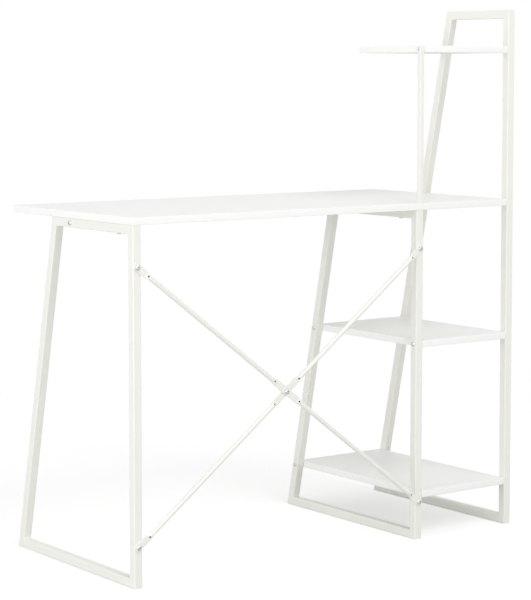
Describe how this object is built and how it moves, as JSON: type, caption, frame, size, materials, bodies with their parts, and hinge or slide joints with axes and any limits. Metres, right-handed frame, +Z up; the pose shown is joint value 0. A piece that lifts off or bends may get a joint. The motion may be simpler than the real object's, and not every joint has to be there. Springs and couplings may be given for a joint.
{
  "type": "writing desk",
  "caption": "Writing desk with an integrated open shelf tower at one end, square steel tube side frames, laminated boards and a crossed tube brace at the rear.",
  "frame": {"origin": "on the floor, at the middle of the desk's own bounding box", "axes": "+Z up, +Y to the rear where the upright legs and the crossed brace are, -Y to the person at the desk, +X to the end without the shelf tower"},
  "size_m": [1.0266, 0.483, 1.17],
  "materials": {
    "frame_paint": "off-white powder coat, satin, fine orange peel",
    "board_laminate": "white melamine-faced chipboard, low sheen with fine pores",
    "edge_strip": "white ABS edge strip, glued on",
    "zinc_steel": "bright zinc plating",
    "white_plastic": "moulded white polyethylene"
  },
  "bodies": {
    "root": {"left_frame_back_leg": "frame_paint", "left_frame_top_bar": "frame_paint", "left_frame_front_leg": "frame_paint", "left_frame_foot_bar": "frame_paint", "middle_frame_back_leg": "frame_paint", "middle_frame_top_bar": "frame_paint", "middle_frame_front_leg": "frame_paint", "middle_frame_foot_bar": "frame_paint", "tall_frame_back_leg": "frame_paint", "tall_frame_top_bar": "frame_paint", "tall_frame_front_leg": "frame_paint", "tall_frame_foot_bar": "frame_paint", "front_rail": "frame_paint", "shelf_post": "frame_paint", "outer_brace": "frame_paint", "inner_brace": "frame_paint", "desktop": "board_laminate", "bottom_shelf": "board_laminate", "middle_shelf": "board_laminate", "top_shelf": "board_laminate", "desktop_edge_band": "edge_strip", "bottom_shelf_edge_band": "edge_strip", "middle_shelf_edge_band": "edge_strip", "top_shelf_edge_band": "edge_strip", "board_screws": "zinc_steel", "rail_bolts": "zinc_steel", "rail_end_plugs": "zinc_steel", "desktop_screws": "zinc_steel", "insert_nuts": "zinc_steel", "brace_end_bolts": "zinc_steel", "rivet_nuts": "zinc_steel", "brace_centre_bolt": "zinc_steel", "brace_centre_nut": "zinc_steel", "post_screw": "zinc_steel", "post_foot_pin": "zinc_steel", "post_foot_plug": "white_plastic", "post_cap": "white_plastic"}
  },
  "joints": []
}
